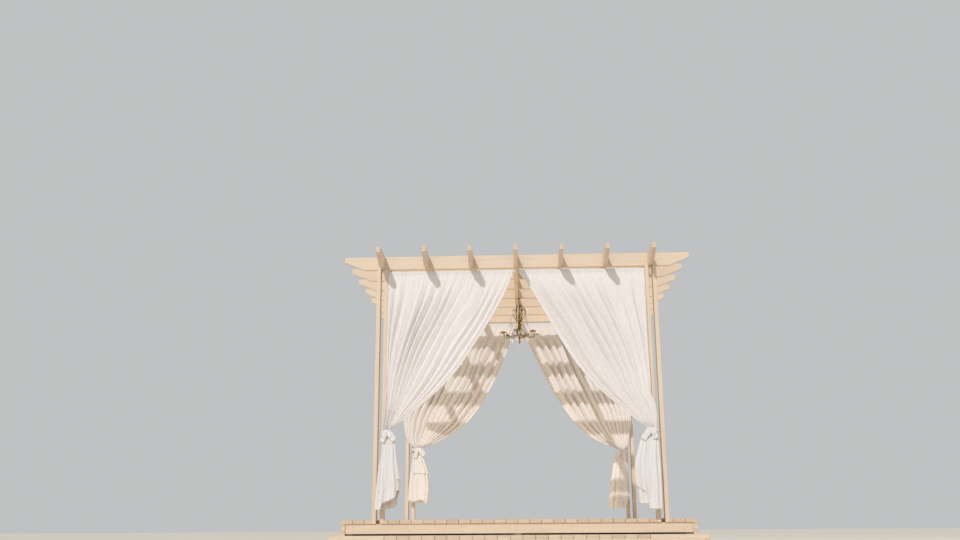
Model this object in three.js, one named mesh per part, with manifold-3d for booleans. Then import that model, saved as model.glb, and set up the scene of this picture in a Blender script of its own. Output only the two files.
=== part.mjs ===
// A wedding canopy: a flat timber lattice on four twin-board posts, four tied-back curtains and a
// hanging chandelier, standing on a plank deck with one broad step in front.
// Millimetres, +Z up, the front facing -Y, the origin on the ground under the middle of the whole.
import * as THREE from 'three';
import { mergeVertices } from 'three/addons/utils/BufferGeometryUtils.js';
import Module from 'manifold-3d';

const wasm = await Module();
wasm.setup();

// Driving dimensions
const bay = 2800;              // post centre to post centre, both ways
const cells = 6;               // lattice cells along one bay
const boardThick = 40;
const boardHigh = 140;
const boardLong = 3620;
const boardEndHigh = 55;       // what the taper leaves at each board end
const taperLong = 212;
const headroom = 2560;         // deck to the underside of the lattice
const postDeep = 90;
const seat = 0.3;              // gap between pieces that rest on or against each other

const plankPitch = 116.5;
const plankGap = 3.5;
const plankThick = 38;
const deckPlanks = 30;
const deckX = -19;             // the deck's middle, left of the canopy's
const nosing = 12;             // how far the planks run on in front of the deck's front skirt
const skirtHigh = 95;
const skirtThick = 40;
const recess = 15;             // dark joint between the deck's front skirt and the step below it
const stepDeep = 595;
const stepPlanks = 21;         // planks of the step that run front to back
const stepX = -30;             // and the middle of their row
const stepSidePlanks = 5;      // planks at each end of the step that run sideways
const joistWide = 60;
const bearerWide = 70;
const letIn = 1;               // how far a joist goes into the planks it carries
const stepJoistHigh = 60;
const stepUnderDeck = 30;      // how far the step's planks run on under the deck

const rodRadius = 12.5;
const rodSides = 16;
const frontRodDrop = 44;       // lattice underside to the front rod's centre
const backRodDrop = 36;        // and to the back rod's
const rodAhead = 30;           // the rods sit this far before the middle of the posts
const pocketRadius = 17;
const stitchDrop = 28;         // rod's centre to the stitches that close the curtain's pocket
const tieHigh = 46;
const tieThick = 6;

const hookX = 26;              // the chandelier's hook, right of the middle
const plateRadius = 18;
const linkRadius = 3.2;
const crownDrop = 76;          // lattice underside to the chandelier's crown
const cageDrop = 298;          // and to the foot of its scroll cage
const cupDrop = 424;           // and to the drip pans of its arms
const hubDrop = 440;           // and to the hub that carries the arms
const finialDrop = 545;        // and to the foot of its stem
const crystalLong = 40;
const cageReach = 78;
const cageRod = 4.5;
const armReach = 205;
const armRod = 6.5;
const arms = 6;
const armTurn = 20 * Math.PI / 180;
const hubRadius = 24;
const collarThick = 6;
const panRadius = 38;
const overcut = 10;            // how far a cutting body runs on past what it cuts

// Derived sizes
const pitch = bay / cells;
const level = plankThick + skirtHigh + recess;
const stepTop = level;
const deckTop = 2 * level;
const roofUnder = deckTop + headroom;
const deckWide = deckPlanks * plankPitch - plankGap;
const deckDeep = bay + postDeep;
const stepWide = stepPlanks * plankPitch - plankGap;
const frontReach = deckDeep / 2 + stepDeep;
const centreY = (frontReach - boardLong / 2) / 2;
const deckFront = centreY - deckDeep / 2;
const stepFront = deckFront - stepDeep;
const deckBack = deckFront + deckDeep;
const skirtTop = deckTop - plankThick;
const skirtUnder = skirtTop - skirtHigh;
const skirtInside = deckWide / 2 - skirtThick - seat;
const stepSkirtTop = stepTop - plankThick;

// Materials
const finish = (color, roughness, metalness) => () =>
  new THREE.MeshStandardMaterial({ color, roughness, metalness });
const paint = finish('#ecd2b4', 0.62, 0);
const cloth = finish('#f1ebe4', 0.9, 0);
const brass = finish('#a07c3c', 0.35, 0.9);
const rodSteel = finish('#d8cfc2', 0.4, 0.6);
const crystal = finish('#e4ebee', 0.08, 0);

const canopy = new THREE.Group();

function place(name, geometry, material, x = 0, y = 0, z = 0) {
  const mesh = new THREE.Mesh(geometry, material());
  mesh.name = name;
  mesh.position.set(x, y, z);
  canopy.add(mesh);
  return mesh;
}

// A box given by its lowest and highest corner
function boxBetween(low, high) {
  const size = high.map((value, axis) => value - low[axis]);
  const box = new THREE.BoxGeometry(...size);
  box.translate(...low.map((value, axis) => value + size[axis] / 2));
  return box;
}

// Boolean joins and cuts
function toSolid(geometry) {
  const bare = geometry.clone();
  bare.deleteAttribute('normal');
  bare.deleteAttribute('uv');
  const merged = mergeVertices(bare, 1e-4);
  return new wasm.Manifold(new wasm.Mesh({
    numProp: 3,
    vertProperties: new Float32Array(merged.attributes.position.array),
    triVerts: new Uint32Array(merged.index.array),
  }));
}

function toGeometry(solid) {
  const mesh = solid.getMesh();
  const geometry = new THREE.BufferGeometry();
  geometry.setAttribute('position', new THREE.BufferAttribute(mesh.vertProperties, 3));
  geometry.setIndex(new THREE.BufferAttribute(mesh.triVerts, 1));
  geometry.computeVertexNormals();
  return geometry;
}

const join = (geometries) => geometries.map(toSolid).reduce((sum, next) => sum.add(next));
const fuse = (geometries) => toGeometry(join(geometries));
const carve = (geometry, cuts) => toGeometry(toSolid(geometry).subtract(join(cuts)));

// Lattice boards: one outline, with half-lap slots from the top or from below
function latticeBoard(slotsFromTop) {
  const half = boardLong / 2;
  const slotHalf = boardThick / 2 + seat;
  const slotFloor = boardHigh / 2 + (slotsFromTop ? -seat / 2 : seat / 2);
  const slotEdge = slotsFromTop ? boardHigh : 0;
  const slots = [];
  for (let k = 0; k <= cells; k += 1) {
    const middle = k * pitch - bay / 2;
    slots.push([middle - slotHalf, slotEdge], [middle - slotHalf, slotFloor]);
    slots.push([middle + slotHalf, slotFloor], [middle + slotHalf, slotEdge]);
  }
  const under = [[-half, boardHigh - boardEndHigh], [taperLong - half, 0]];
  const underEnd = [[half - taperLong, 0], [half, boardHigh - boardEndHigh]];
  const top = [[half, boardHigh], [-half, boardHigh]];
  const outline = slotsFromTop
    ? [...under, ...underEnd, top[0], ...slots.reverse(), top[1]]
    : [...under, ...slots, ...underEnd, ...top];
  const shape = new THREE.Shape(outline.map(([x, y]) => new THREE.Vector2(x, y)));
  const board = new THREE.ExtrudeGeometry(shape, { depth: boardThick, bevelEnabled: false });
  board.translate(0, 0, -boardThick / 2);
  board.rotateX(Math.PI / 2);
  return board;
}

function addLattice() {
  for (let k = 0; k <= cells; k += 1) {
    const offset = k * pitch - bay / 2;
    place(`cross_board_${k + 1}`, latticeBoard(false), paint, 0, centreY + offset, roofUnder);
    const rafter = latticeBoard(true);
    rafter.rotateZ(Math.PI / 2);
    place(`rafter_${k + 1}`, rafter, paint, offset, centreY, roofUnder);
  }
}

// Posts: two boards side by side, the gap between them in line with the rafter above
const postRows = [['front', -1], ['back', 1]];
const postSides = [['left', -1], ['right', 1]];

function addPosts() {
  const low = skirtTop + seat;
  const high = roofUnder - seat;
  for (const [row, rowSign] of postRows) {
    for (const [side, sideSign] of postSides) {
      for (const [which, gapSign] of [['inner', -1], ['outer', 1]]) {
        const board = new THREE.BoxGeometry(boardThick, postDeep, high - low);
        place(`post_${row}_${side}_${which}`, board, paint,
          sideSign * (bay / 2 + gapSign * boardThick), centreY + rowSign * bay / 2, (low + high) / 2);
      }
    }
  }
}

// Planks side by side, joined by joists that are let a little into them
function planking({ count, length, joists, joistHigh }) {
  const wide = count * plankPitch - plankGap;
  const pieces = [];
  for (let k = 0; k < count; k += 1) {
    const left = k * plankPitch - wide / 2;
    pieces.push(boxBetween([left, -length / 2, -plankThick], [left + plankPitch - plankGap, length / 2, 0]));
  }
  const joistEnd = wide / 2 - skirtThick - seat;
  for (const y of joists) {
    const low = [-joistEnd, y - joistWide / 2, -plankThick - joistHigh];
    pieces.push(boxBetween(low, [joistEnd, y + joistWide / 2, letIn - plankThick]));
  }
  return pieces;
}

// The deck's planks run front to back and are notched round the feet of the posts
function addDeck() {
  const outermost = deckDeep / 2 - nosing - skirtThick - seat - joistWide / 2;
  const joists = [-1, -0.5, 0, 0.5, 1].map((share) => share * outermost);
  const deck = planking({ count: deckPlanks, length: deckDeep, joists, joistHigh: skirtHigh });
  const notches = [];
  const notchHalf = 1.5 * boardThick + seat;
  for (const x of [-bay / 2 - deckX, bay / 2 - deckX]) {
    for (const sign of [-1, 1]) {
      const ends = [sign * (bay / 2 - postDeep / 2 - seat), sign * (deckDeep / 2 + overcut)];
      const low = [x - notchHalf, Math.min(...ends), -plankThick];
      notches.push(boxBetween(low, [x + notchHalf, Math.max(...ends), overcut]));
    }
  }
  const planks = toGeometry(join(deck).subtract(join(notches)));
  place('deck_planks', planks, paint, deckX, centreY, deckTop);

  const top = skirtTop - seat;
  for (const [row, front] of [['front', deckFront + nosing], ['back', deckBack - skirtThick]]) {
    const skirt = boxBetween([-skirtInside, front, skirtUnder], [skirtInside, front + skirtThick, top]);
    place(`deck_skirt_${row}`, skirt, paint, deckX);
  }
  for (const [side, sign] of postSides) {
    const skirt = boxBetween([-skirtThick / 2, deckFront, skirtUnder], [skirtThick / 2, deckBack, top]);
    place(`deck_skirt_${side}`, skirt, paint, deckX + sign * (deckWide - skirtThick) / 2);
  }
}

// The base: bearers on the ground, front to back, high under the deck and low under the step
function addBase() {
  const back = deckBack - skirtThick;
  const bearerReach = skirtInside - bearerWide / 2;
  for (const [which, share] of [['left', -1], ['middle', 0], ['right', 1]]) {
    const bearer = sideBoard([stepFront + skirtThick + seat, deckFront + skirtThick, back],
      [stepSkirtTop - stepJoistHigh - seat, skirtUnder - seat], bearerWide);
    place(`bearer_${which}`, bearer, paint, deckX + share * bearerReach);
  }

  const top = skirtUnder - seat;
  const backBoard = boxBetween([-skirtInside, back + seat, 0], [skirtInside, deckBack, top]);
  place('base_skirt_back', backBoard, paint, deckX);
  const stepBoard = boxBetween([-skirtInside, stepFront, 0],
    [skirtInside, stepFront + skirtThick, stepSkirtTop - seat]);
  place('step_skirt_front', stepBoard, paint, deckX);
  for (const [side, sign] of postSides) {
    const board = sideBoard([stepFront, deckFront + seat, deckBack],
      [stepSkirtTop - seat, top], skirtThick);
    place(`base_skirt_${side}`, board, paint, deckX + sign * (deckWide - skirtThick) / 2);
  }
}

// One long board on edge, front to back, lower along the step than along the deck
function sideBoard([front, rise, back], [low, high], wide) {
  const outline = [[front, 0], [back, 0], [back, high], [rise, high], [rise, low], [front, low]];
  const shape = new THREE.Shape(outline.map(([y, z]) => new THREE.Vector2(y, z)));
  const board = new THREE.ExtrudeGeometry(shape, { depth: wide, bevelEnabled: false });
  board.rotateX(Math.PI / 2);
  board.rotateZ(Math.PI / 2);
  board.translate(-wide / 2, 0, 0);
  return board;
}

// The step: planks front to back in the middle, sideways planks at both ends
function addStep() {
  const length = stepDeep + stepUnderDeck;
  const outermost = length / 2 - skirtThick - seat - joistWide / 2;
  const middle = planking({
    count: stepPlanks, length, joists: [-outermost, 0, outermost], joistHigh: stepJoistHigh,
  });
  place('step_planks', fuse(middle), paint, stepX, stepFront + length / 2, stepTop);

  const sidePitch = (stepDeep + plankGap) / stepSidePlanks;
  for (const [side, sign] of postSides) {
    const sideWide = (deckWide - stepWide) / 2 - plankGap - sign * (stepX - deckX);
    const pieces = [];
    for (let k = 0; k < stepSidePlanks; k += 1) {
      const y = k * sidePitch;
      pieces.push(boxBetween([-sideWide / 2, y, -plankThick], [sideWide / 2, y + sidePitch - plankGap, 0]));
    }
    for (const x of [-0.25, 0.25].map((share) => share * sideWide)) {
      const low = [x - joistWide / 2, skirtThick + seat, -plankThick - stepJoistHigh];
      pieces.push(boxBetween(low, [x + joistWide / 2, stepDeep - seat, letIn - plankThick]));
    }
    place(`step_side_planks_${side}`, fuse(pieces), paint,
      deckX + sign * (deckWide - sideWide) / 2, stepFront, stepTop);
  }
}

// Curtains: each row gives height above the deck, inner and outer edge from the middle,
// shift towards the front from the posts' middle, and half the depth of the folds
const innerFace = bay / 2 - 1.5 * boardThick;
const postEdge = innerFace - 4;
const pocket = { front: headroom - frontRodDrop, back: headroom - backRodDrop };
const heading = (rodHigh) => [
  [rodHigh + pocketRadius, 14, postEdge - 1, rodAhead, pocketRadius * 0.6],
  [rodHigh + pocketRadius * 0.6, 18, postEdge, rodAhead, pocketRadius],
  [rodHigh - stitchDrop, 36, postEdge, rodAhead + 4, pocketRadius + 2],
];
const curtains = {
  front_left: [
    ...heading(pocket.front),
    [2300, 112, postEdge, 50, 30],
    [2000, 275, postEdge, 61, 31],
    [1740, 438, postEdge, 70, 32],
    [1520, 585, postEdge, 78, 34],
    [1310, 768, postEdge, 86, 36],
    [1138, 960, postEdge, 88, 36],
    [1060, 1052, postEdge, 88, 34],
    [985, 1140, innerFace + 8, 86, 34],
    [915, 1240, innerFace + 14, 90, 30],
    [876, 1281, innerFace + 12, 90, 30],
    [824, 1281, innerFace + 12, 90, 30],
    [766, 1234, innerFace + 22, 96, 36],
    [594, 1205, innerFace + 45, 104, 46],
    [464, 1180, innerFace + 72, 110, 52],
    [298, 1156, innerFace + 85, 112, 56],
    [88, 1180, innerFace + 97, 114, 56],
  ],
  front_right: [
    ...heading(pocket.front),
    [2380, 118, postEdge, 48, 28],
    [2000, 331, postEdge, 61, 31],
    [1740, 472, postEdge, 70, 32],
    [1520, 608, postEdge, 78, 34],
    [1310, 785, postEdge, 86, 35],
    [1230, 862, postEdge, 86, 35],
    [1120, 985, innerFace + 34, 86, 36],
    [985, 1140, innerFace + 44, 90, 36],
    [915, 1232, innerFace + 42, 92, 32],
    [876, 1277, innerFace + 42, 92, 30],
    [824, 1277, innerFace + 42, 92, 30],
    [790, 1231, innerFace + 56, 96, 34],
    [710, 1188, innerFace + 62, 102, 42],
    [465, 1134, innerFace + 70, 110, 54],
    [267, 1140, innerFace + 68, 112, 58],
    [78, 1160, innerFace + 62, 114, 58],
  ],
  back_left: [
    ...heading(pocket.back),
    [2290, 100, postEdge, 50, 32],
    [2030, 197, postEdge, 60, 34],
    [1850, 275, postEdge, 70, 35],
    [1560, 428, innerFace + 60, 84, 36],
    [1260, 645, innerFace + 145, 88, 38],
    [1120, 820, innerFace + 128, 88, 38],
    [1010, 1015, innerFace + 88, 90, 38],
    [965, 1100, innerFace + 58, 90, 36],
    [942, 1174, innerFace + 38, 90, 33],
    [921, 1236, innerFace + 14, 90, 30],
    [869, 1236, innerFace + 14, 90, 30],
    [805, 1226, innerFace + 30, 94, 36],
    [703, 1188, innerFace + 46, 100, 44],
    [546, 1138, innerFace + 70, 106, 52],
    [404, 1127, innerFace + 84, 108, 54],
    [157, 1160, innerFace + 88, 110, 54],
  ],
  back_right: [
    ...heading(pocket.back),
    [2290, 133, postEdge, 50, 32],
    [2030, 253, postEdge, 60, 34],
    [1850, 338, postEdge, 70, 35],
    [1560, 490, innerFace + 40, 84, 36],
    [1260, 685, innerFace + 95, 88, 38],
    [1120, 820, innerFace + 80, 88, 36],
    [1004, 973, innerFace + 58, 90, 36],
    [950, 1085, innerFace + 46, 90, 34],
    [905, 1184, innerFace + 26, 90, 32],
    [880, 1246, innerFace + 4, 90, 30],
    [828, 1246, innerFace + 4, 90, 30],
    [800, 1226, innerFace + 16, 92, 34],
    [731, 1195, innerFace + 30, 98, 42],
    [525, 1155, innerFace + 51, 106, 52],
    [314, 1122, innerFace + 54, 108, 54],
    [150, 1103, innerFace + 44, 110, 54],
  ],
};
const waistRow = 12;           // the row at the top of each curtain's waist
const tieBelow = 3;
const ringPoints = 20;
const ringSquare = 0.6;        // below 1 the ring is squarer than an oval

// One flat oval of the hanging cloth, seen from above
function clothOval([, inner, outer, shift, deep], grow = 0) {
  const oval = [];
  for (let k = 0; k < ringPoints; k += 1) {
    const turn = (2 * Math.PI * k) / ringPoints;
    const across = Math.sign(Math.cos(turn)) * Math.abs(Math.cos(turn)) ** ringSquare;
    const along = Math.sign(Math.sin(turn)) * Math.abs(Math.sin(turn)) ** ringSquare;
    const reach = (outer - inner) / 2 + grow;
    oval.push([(inner + outer) / 2 + reach * across, (deep + grow) * along - shift]);
  }
  return oval;
}

// A closed body of rings, one for each row
function hangingCloth(rows, side) {
  const positions = [];
  for (const row of rows) {
    for (const [x, y] of clothOval(row)) positions.push(side * x, y, row[0]);
  }
  const last = rows.length - 1;
  const index = [];
  const face = (a, b, c) => index.push(...(side > 0 ? [a, c, b] : [a, b, c]));
  for (let row = 0; row < last; row += 1) {
    for (let k = 0; k < ringPoints; k += 1) {
      const a = row * ringPoints + k;
      const b = row * ringPoints + ((k + 1) % ringPoints);
      face(a, b, b + ringPoints);
      face(a, b + ringPoints, a + ringPoints);
    }
  }
  for (let k = 1; k < ringPoints - 1; k += 1) {
    face(0, k + 1, k);
    face(last * ringPoints, last * ringPoints + k, last * ringPoints + k + 1);
  }
  const geometry = new THREE.BufferGeometry();
  geometry.setAttribute('position', new THREE.BufferAttribute(new Float32Array(positions), 3));
  geometry.setIndex(index);
  geometry.computeVertexNormals();
  return geometry;
}

function addRods() {
  const length = 2 * (innerFace - seat);
  for (const [row, rowSign] of postRows) {
    const rod = new THREE.CylinderGeometry(rodRadius, rodRadius, length, rodSides);
    rod.rotateZ(Math.PI / 2);
    const rodY = centreY + rowSign * bay / 2 - rodAhead;
    place(`curtain_rod_${row}`, rod, rodSteel, 0, rodY, deckTop + pocket[row]);
  }
}

function addCurtains() {
  for (const [row, rowSign] of postRows) {
    for (const [side, sign] of postSides) {
      const bore = new THREE.CylinderGeometry(rodRadius + seat, rodRadius + seat, bay, rodSides);
      bore.rotateZ(Math.PI / 2);
      bore.translate(0, -rodAhead, pocket[row]);
      const curtain = carve(hangingCloth(curtains[`${row}_${side}`], sign), [bore]);
      place(`curtain_${row}_${side}`, curtain, cloth, 0, centreY + rowSign * bay / 2, deckTop);
    }
  }
}

// Ties: a band round the waist of the curtain and round the inner board of the post
function tieOutline(waist, grow, sign) {
  const reach = seat + grow;
  const corners = clothOval(waist, reach);
  for (const x of [innerFace - reach, innerFace + boardThick + reach]) {
    corners.push([x, -postDeep / 2], [x, postDeep / 2 + reach]);
  }
  return convexHull(corners.map(([x, y]) => [sign * x, y])).map(([x, y]) => new THREE.Vector2(x, y));
}

function convexHull(points) {
  const sorted = [...points].sort((a, b) => a[0] - b[0] || a[1] - b[1]);
  const turns = (o, a, b) => (a[0] - o[0]) * (b[1] - o[1]) - (a[1] - o[1]) * (b[0] - o[0]);
  const chain = (list) => {
    const kept = [];
    for (const point of list) {
      while (kept.length > 1 && turns(kept[kept.length - 2], kept[kept.length - 1], point) <= 0) kept.pop();
      kept.push(point);
    }
    return kept.slice(0, -1);
  };
  return [...chain(sorted), ...chain(sorted.reverse())];
}

function addTies() {
  for (const [row, rowSign] of postRows) {
    for (const [side, sign] of postSides) {
      const waist = curtains[`${row}_${side}`][waistRow];
      const band = new THREE.Shape(tieOutline(waist, tieThick, sign));
      band.holes.push(new THREE.Path(tieOutline(waist, 0, sign).reverse()));
      const tie = new THREE.ExtrudeGeometry(band, { depth: tieHigh, bevelEnabled: false });
      tie.translate(0, 0, waist[0] - tieBelow - tieHigh);
      place(`curtain_tie_${row}_${side}`, tie, cloth, 0, centreY + rowSign * bay / 2, deckTop);
    }
  }
}

// Chandelier: a chain from the lattice, a stem with its cage of scrolls, and six arms
function turned(profile, segments = 12) {
  const lathe = new THREE.LatheGeometry(profile.map(([r, z]) => new THREE.Vector2(r, z)), segments);
  lathe.rotateX(Math.PI / 2);
  return lathe;
}

function tubeAlong(points, radius, steps, sides = 6) {
  const section = new THREE.Shape();
  for (let k = 0; k < sides; k += 1) {
    const turn = (2 * Math.PI * k) / sides;
    const corner = [radius * Math.cos(turn), radius * Math.sin(turn)];
    if (k === 0) section.moveTo(...corner);
    else section.lineTo(...corner);
  }
  section.closePath();
  const path = new THREE.CatmullRomCurve3(points.map((point) => new THREE.Vector3(...point)));
  return new THREE.ExtrudeGeometry(section, { steps, bevelEnabled: false, extrudePath: path });
}

function around(count, makeOne) {
  const copies = [];
  for (let k = 0; k < count; k += 1) {
    for (const piece of makeOne()) copies.push(piece.rotateZ((2 * Math.PI * k) / count));
  }
  return copies;
}

function addChain() {
  const plate = turned([[0, -10], [7, -10], [plateRadius, -4], [plateRadius, -seat], [0, -seat]]);
  const chain = tubeAlong([[0, 0, -8], [0, 0, -30], [0, 0, seat - crownDrop]], linkRadius, 4);
  place('chandelier_chain', fuse([plate, chain]), brass, hookX, centreY, roofUnder);
}

// The turned stem, from its foot up: finial, hub, shaft, vase, thin shaft, knop and crown
function addStem() {
  const profile = [
    [0, -finialDrop], [8, -finialDrop + 4], [9, -hubDrop - 50], [13, -hubDrop - 34],
    [22, -hubDrop - 12], [hubRadius, -hubDrop], [17, -hubDrop + 14], [12, -hubDrop + 30],
    [14, -cageDrop - 72], [21, -cageDrop - 44], [26, -cageDrop - 22], [24, -cageDrop - 10],
    [12, -cageDrop - 2], [8, -cageDrop + 20], [9, -crownDrop - 146], [19, -crownDrop - 120],
    [9, -crownDrop - 92], [6, -crownDrop - 60], [14, -crownDrop - 30], [6, -crownDrop - 10], [0, -crownDrop],
  ];
  const scroll = () => [tubeAlong([
    [3, 0, -crownDrop - 30], [38, 0, -crownDrop - 38], [70, 0, -crownDrop - 66],
    [cageReach, 0, -crownDrop - 104], [60, 0, -cageDrop + 70], [30, 0, -cageDrop + 28], [3, 0, -cageDrop],
  ], cageRod, 12)];
  const stem = fuse([turned(profile), ...around(arms, scroll)]);
  place('chandelier_stem', stem, brass, hookX, centreY, roofUnder);
}

// Each arm ends in a drip pan with a short socket
function addArms() {
  const arm = () => {
    const sweep = tubeAlong([
      [hubRadius + 1, 0, -hubDrop], [58, 0, -hubDrop - 16], [110, 0, -hubDrop - 22],
      [164, 0, -hubDrop - 14], [armReach, 0, -cupDrop],
    ], armRod, 12);
    const pan = turned([[0, -14], [14, -12], [30, -5], [panRadius, 3], [panRadius, 5], [12, 6], [12, 22],
      [9, 24], [0, 24]]);
    return [sweep, pan.translate(armReach, 0, -cupDrop)];
  };
  const outer = hubRadius + collarThick;
  const collar = turned([[0, -10], [outer, -10], [outer, 10], [0, 10]], 18).translate(0, 0, -hubDrop);
  const bore = turned([[0, -50], [hubRadius + seat, -50], [hubRadius + seat, 50], [0, 50]], 24);
  const armSet = join([collar, ...around(arms, arm)]).subtract(toSolid(bore.translate(0, 0, -hubDrop)));
  place('chandelier_arms', toGeometry(armSet).rotateZ(armTurn), brass, hookX, centreY, roofUnder);
}

function addCrystal() {
  const foot = -finialDrop - crystalLong;
  const ball = turned([[0, foot], [9, foot + 3], [15, foot + 12], [15, foot + 22], [8, foot + 34],
    [3, foot + 39], [0, -finialDrop - seat]]);
  place('chandelier_crystal', ball, crystal, hookX, centreY, roofUnder);
}

addBase();
addDeck();
addStep();
addPosts();
addLattice();
addRods();
addCurtains();
addTies();
addChain();
addStem();
addArms();
addCrystal();

export default canopy;
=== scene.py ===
"""A wedding canopy: the looks of its timber, cloth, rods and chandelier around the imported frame.

Metres, +Z up, the front facing -Y, the origin on the ground under the middle of the whole.
"""
import math
import random

import bpy
import numpy as np
from mathutils import Matrix, Vector


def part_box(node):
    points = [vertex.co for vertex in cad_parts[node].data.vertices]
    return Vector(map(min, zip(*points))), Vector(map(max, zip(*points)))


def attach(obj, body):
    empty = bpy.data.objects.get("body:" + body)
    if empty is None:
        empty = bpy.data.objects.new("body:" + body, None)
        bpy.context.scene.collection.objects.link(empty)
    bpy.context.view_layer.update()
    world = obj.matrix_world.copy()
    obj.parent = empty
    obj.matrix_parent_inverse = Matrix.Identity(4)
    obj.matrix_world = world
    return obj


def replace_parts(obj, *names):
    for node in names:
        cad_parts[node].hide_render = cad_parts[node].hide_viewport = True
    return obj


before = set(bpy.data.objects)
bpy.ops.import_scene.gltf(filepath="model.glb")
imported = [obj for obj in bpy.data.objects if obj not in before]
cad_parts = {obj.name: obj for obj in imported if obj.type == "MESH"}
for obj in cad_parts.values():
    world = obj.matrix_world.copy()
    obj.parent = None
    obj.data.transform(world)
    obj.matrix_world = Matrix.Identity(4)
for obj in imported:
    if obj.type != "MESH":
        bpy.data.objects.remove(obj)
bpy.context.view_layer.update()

# Places that the frame's own boxes give
LATTICE_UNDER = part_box("rafter_4")[0][2]
MIDDLE = (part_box("rafter_4")[0][1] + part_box("rafter_4")[1][1]) / 2
DECK_LOW, DECK_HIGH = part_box("deck_planks")
STEP_LOW, STEP_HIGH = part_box("step_planks")
SIDE_LOW, SIDE_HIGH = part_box("step_side_planks_left")
DECK_TOP = DECK_HIGH[2]

POST_PLACE = 1.4           # the posts stand so far from the canopy's middle, across and front to back
PLANK_PITCH = 0.1165
PLANK_GAP = 0.0035
SIDE_PLANKS = 5            # planks that lie sideways at each end of the step
SKIRT_THICK = 0.04
ROD_RADIUS = 0.0125


def put_in_scene(name, data):
    thing = bpy.data.objects.new(name, data)
    bpy.context.collection.objects.link(thing)
    return thing


def set_camera():
    """The camera stands low in front and looks up at the canopy."""
    eye = Vector((0.030, -11.2076, 0.2098))
    pitch, yaw, roll = (math.radians(angle) for angle in (14.852, -2.352, -0.344))
    forward = Vector((math.sin(yaw) * math.cos(pitch), math.cos(yaw) * math.cos(pitch), math.sin(pitch)))
    level = Vector((math.cos(yaw), -math.sin(yaw), 0))
    upright = level.cross(forward)
    right = math.cos(roll) * level + math.sin(roll) * upright
    up = -math.sin(roll) * level + math.cos(roll) * upright
    data = bpy.data.cameras.new("canopy_camera")
    data.sensor_width = 36
    data.lens = 36.56
    data.clip_end = 200
    camera = put_in_scene("canopy_camera", data)
    camera.matrix_world = Matrix.Translation(eye) @ Matrix((right, up, -forward)).transposed().to_4x4()
    bpy.context.scene.camera = camera


set_camera()


# Materials

def rgb(code):
    """An sRGB hex colour as linear RGBA."""
    channels = [int(code[k:k + 2], 16) / 255 for k in (1, 3, 5)]
    return [c / 12.92 if c <= 0.04045 else ((c + 0.055) / 1.055) ** 2.4 for c in channels] + [1.0]


def add(material, kind, settings=None, links=None):
    """One shader node, with its settings (a socket's value or a property) and its links (a socket, or a node
    for its first one). Sockets go by name, or by number where names repeat: a Mix's 6 and 7 are its two
    colours, a MapRange's 1 and 2 the range it reads and 3 and 4 the range it gives."""
    node = material.node_tree.nodes.new("ShaderNode" + kind)
    for name, value in (settings or {}).items():
        if isinstance(name, int) or name in node.inputs:
            node.inputs[name].default_value = value
        else:
            setattr(node, name, value)
    for name, source in (links or {}).items():
        socket = source if isinstance(source, bpy.types.NodeSocket) else source.outputs[0]
        material.node_tree.links.new(socket, node.inputs[name])
    return node


def new_material(name):
    """An empty material, and the place on the object that its patterns start from."""
    material = bpy.data.materials.new(name)
    material.use_nodes = True
    material.node_tree.nodes.clear()
    return material, add(material, "TexCoord").outputs["Object"]


def finish_with(material, shader):
    add(material, "OutputMaterial", links={"Surface": shader})
    return material


AXES = {"x": 0, "y": 1, "z": 2}
GRAIN_STRETCH = 28         # grain and brush lines are so many times longer than they are wide
RIDGES = 1 / 0.010         # annual rings 5 mm apart show as faint ridges, drawn twice as coarse
BRISTLES = 1 / 0.0035      # brush lines of 1.5 mm, drawn twice as coarse too
CLOUDS = 1 / 0.35          # board by board and hand by hand the paint dries in broad soft clouds
SPECKS = 1 / 0.02          # and in specks it shines and wears unevenly
END_RINGS = 1 / 0.03       # a wave's scale, which makes rings 9 mm apart
ARRIS = 0.004              # radius of the rounded edges
OWN_GRAIN = 7.0            # planks take their grain from places up to so far apart


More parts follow.
